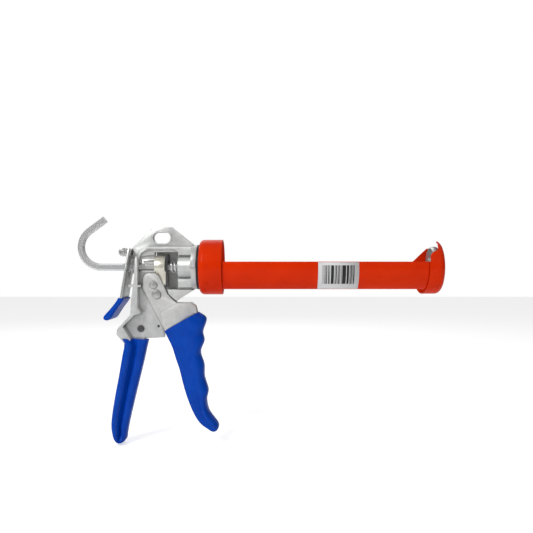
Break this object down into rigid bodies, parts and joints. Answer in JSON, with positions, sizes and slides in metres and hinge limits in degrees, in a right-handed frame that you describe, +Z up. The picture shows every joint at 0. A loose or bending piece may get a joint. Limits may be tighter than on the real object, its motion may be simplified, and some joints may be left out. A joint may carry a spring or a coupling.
{
  "type": "caulking gun",
  "caption": "Skeleton caulking gun: cast handle frame with squeeze trigger and thumb release, hexagonal hooked push rod and a turning open steel cradle for a sealant cartridge.",
  "frame": {"origin": "where the push rod's axis meets the front face of the casting's flange", "axes": "+X along the push rod towards the nozzle, +Z up with the handles hanging down"},
  "size_m": [0.3614, 0.0546, 0.2248],
  "materials": {
    "casting": "cast, satin",
    "orange_paint": "gloss enamel",
    "blue_vinyl": "dipped vinyl, satin gloss",
    "zinc_rod": "bright zinc",
    "zinc_plate": "zinc plated",
    "nickel_block": "nickel plated, warm",
    "fork_steel": "tumbled zinc plate",
    "dark_steel": "hardened, dark",
    "black_washer": "matte",
    "sticker": "paper gloss"
  },
  "bodies": {
    "frame": {"body_casting": "casting", "handle_grip": "blue_vinyl", "trigger_pivot_pin": "zinc_plate", "stop_pin": "dark_steel", "lever_pivot_pin": "zinc_plate", "swivel_washer": "black_washer", "hub_ring": "dark_steel", "return_spring": "zinc_rod", "release_spring": "zinc_rod"},
    "cradle": {"rear_collar": "orange_paint", "cradle_strip": "orange_paint", "front_cap": "orange_paint", "label_sticker": "sticker"},
    "rod": {"push_rod": "zinc_rod", "piston_disc": "zinc_plate", "piston_washer": "zinc_plate", "piston_nut": "zinc_plate"},
    "trigger": {"trigger_lever": "fork_steel", "trigger_grip": "blue_vinyl", "drive_pin": "zinc_plate"},
    "drive": {"drive_block": "nickel_block", "guide_key": "zinc_plate", "grip_plates": "dark_steel"},
    "release": {"release_lever": "zinc_plate", "release_lever_grip": "blue_vinyl"}
  },
  "joints": [
    {"name": "cradle_swivel", "type": "hinge", "parent": "frame", "child": "cradle", "pos_m": [0, 0, 0], "axis": [1, 0, 0], "continuous": true},
    {"name": "rod_slide", "type": "slide", "parent": "frame", "child": "rod", "axis": [1, 0, 0], "range_m": [-0.222, 0]},
    {"name": "trigger_pivot", "type": "hinge", "parent": "frame", "child": "trigger", "pos_m": [-0.0403, 0, -0.0271], "axis": [0, 1, 0], "range_deg": [0, 24], "stiffness_Nm_per_rad": 0.9, "springref_deg": -20.05},
    {"name": "drive_slide", "type": "slide", "parent": "frame", "child": "drive", "axis": [1, 0, 0], "range_m": [0, 0.0042], "deforming": ["return_spring"]},
    {"name": "release_pivot", "type": "hinge", "parent": "frame", "child": "release", "pos_m": [-0.074, 0, 0.0151], "axis": [0, -1, 0], "range_deg": [0, 5], "stiffness_Nm_per_rad": 0.15, "springref_deg": -28.65, "deforming": ["release_spring"]}
  ],
  "couplings": [
    {"joint": "drive_slide", "follows": "trigger_pivot", "m_per_rad": 0.00988}
  ]
}
